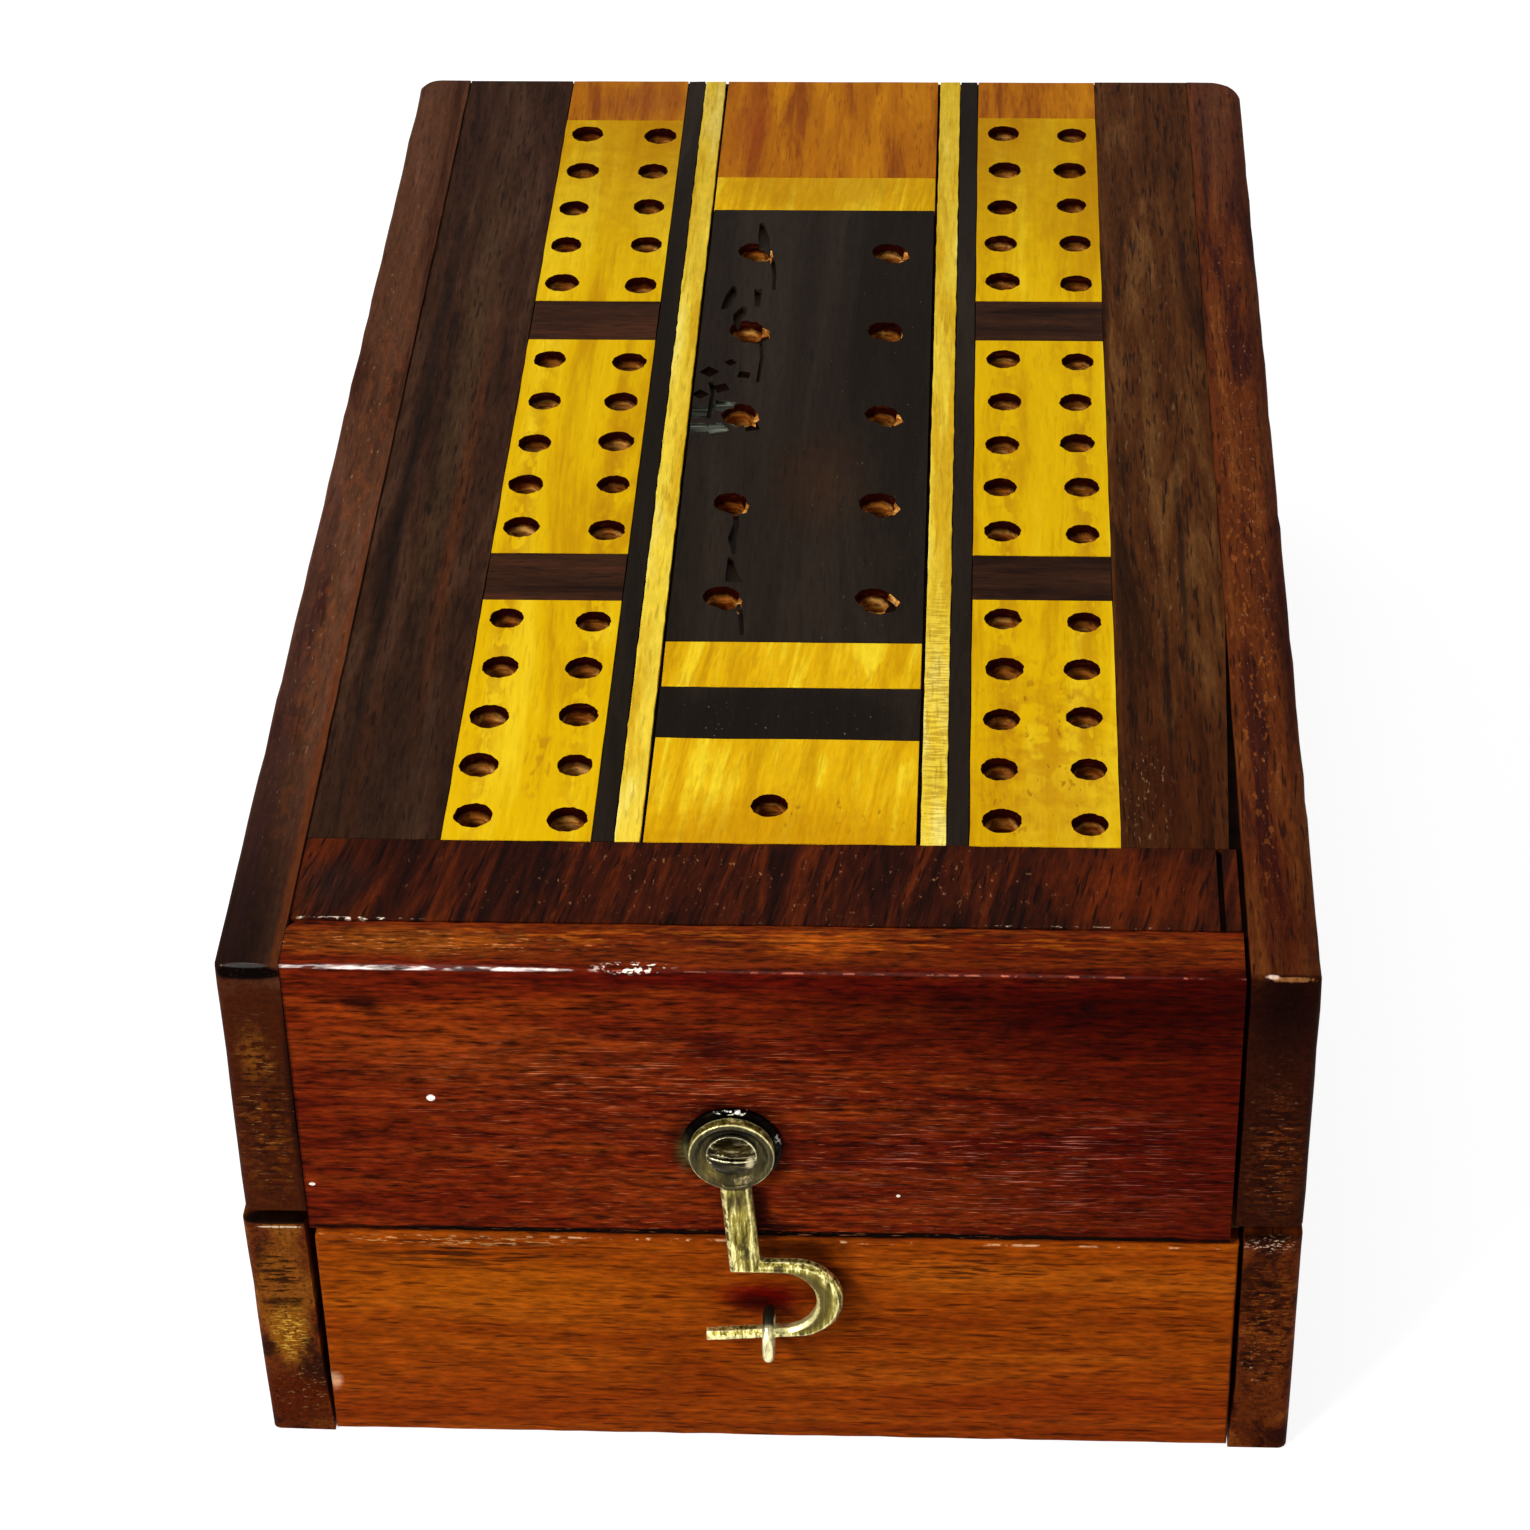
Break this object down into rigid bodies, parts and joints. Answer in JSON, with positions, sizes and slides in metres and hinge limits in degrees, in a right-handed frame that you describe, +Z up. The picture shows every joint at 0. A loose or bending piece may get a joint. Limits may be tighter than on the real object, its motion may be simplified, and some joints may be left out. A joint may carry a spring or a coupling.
{
  "type": "cribbage box",
  "caption": "Rectangular wooden cribbage box with an inlaid, drilled peg board on top and a card drawer in its narrow end, kept shut by a brass hook and screw eye.",
  "frame": {"origin": "middle of the flat underside of the case", "axes": "+X across the box to the right seen from the drawer end, +Y from the drawer front towards the back, +Z up"},
  "size_m": [0.1004, 0.1762, 0.0597],
  "materials": {
    "rosewood": "old polish, worn",
    "dark_side_wood": "old polish, worn",
    "red_mahogany": "old polish, worn",
    "drawer_mahogany": "old polish, worn",
    "satinwood": "old polish, worn",
    "ebony": "old polish, worn",
    "tulipwood": "old polish, worn",
    "pine": "old polish, worn",
    "latch_brass": "worn and tarnished",
    "screw_brass": "dark tarnish",
    "brad_iron": "rust-dark"
  },
  "bodies": {
    "case": {"upper_side_left": "dark_side_wood", "upper_side_right": "dark_side_wood", "lower_side_left": "dark_side_wood", "lower_side_right": "dark_side_wood", "upper_back": "dark_side_wood", "lower_back": "dark_side_wood", "border_left": "rosewood", "border_right": "rosewood", "crossband_filler": "rosewood", "front_crossband": "rosewood", "spacer_left_front": "rosewood", "spacer_left_middle": "rosewood", "spacer_right_front": "rosewood", "spacer_right_middle": "rosewood", "upper_front": "red_mahogany", "panel_left_front": "satinwood", "panel_left_middle": "satinwood", "panel_left_rear": "satinwood", "panel_right_front": "satinwood", "panel_right_middle": "satinwood", "panel_right_rear": "satinwood", "stringing_left": "satinwood", "stringing_right": "satinwood", "game_hole_block": "satinwood", "centre_band_front": "satinwood", "centre_band_rear": "satinwood", "stripe_left": "ebony", "stripe_right": "ebony", "centre_band_black": "ebony", "tally_panel": "ebony", "end_block_left": "tulipwood", "end_block_right": "tulipwood", "end_block_centre": "tulipwood", "dust_board": "pine", "case_bottom": "pine", "ground_panel": "pine", "hook_collar": "latch_brass", "hook_screw": "screw_brass", "front_brads": "brad_iron"},
    "drawer": {"drawer_front": "drawer_mahogany", "drawer_side_left": "pine", "drawer_side_right": "pine", "drawer_back": "pine", "drawer_bottom": "pine", "screw_eye": "latch_brass"},
    "hook": {"latch_hook": "latch_brass"}
  },
  "joints": [
    {"name": "drawer_slide", "type": "slide", "parent": "case", "child": "drawer", "axis": [0, -1, 0], "range_m": [0, 0.14]},
    {"name": "hook_swing", "type": "hinge", "parent": "case", "child": "hook", "pos_m": [-0.0034, -0.0864, 0.0388], "axis": [0, -1, 0], "range_deg": [0, 180]}
  ]
}
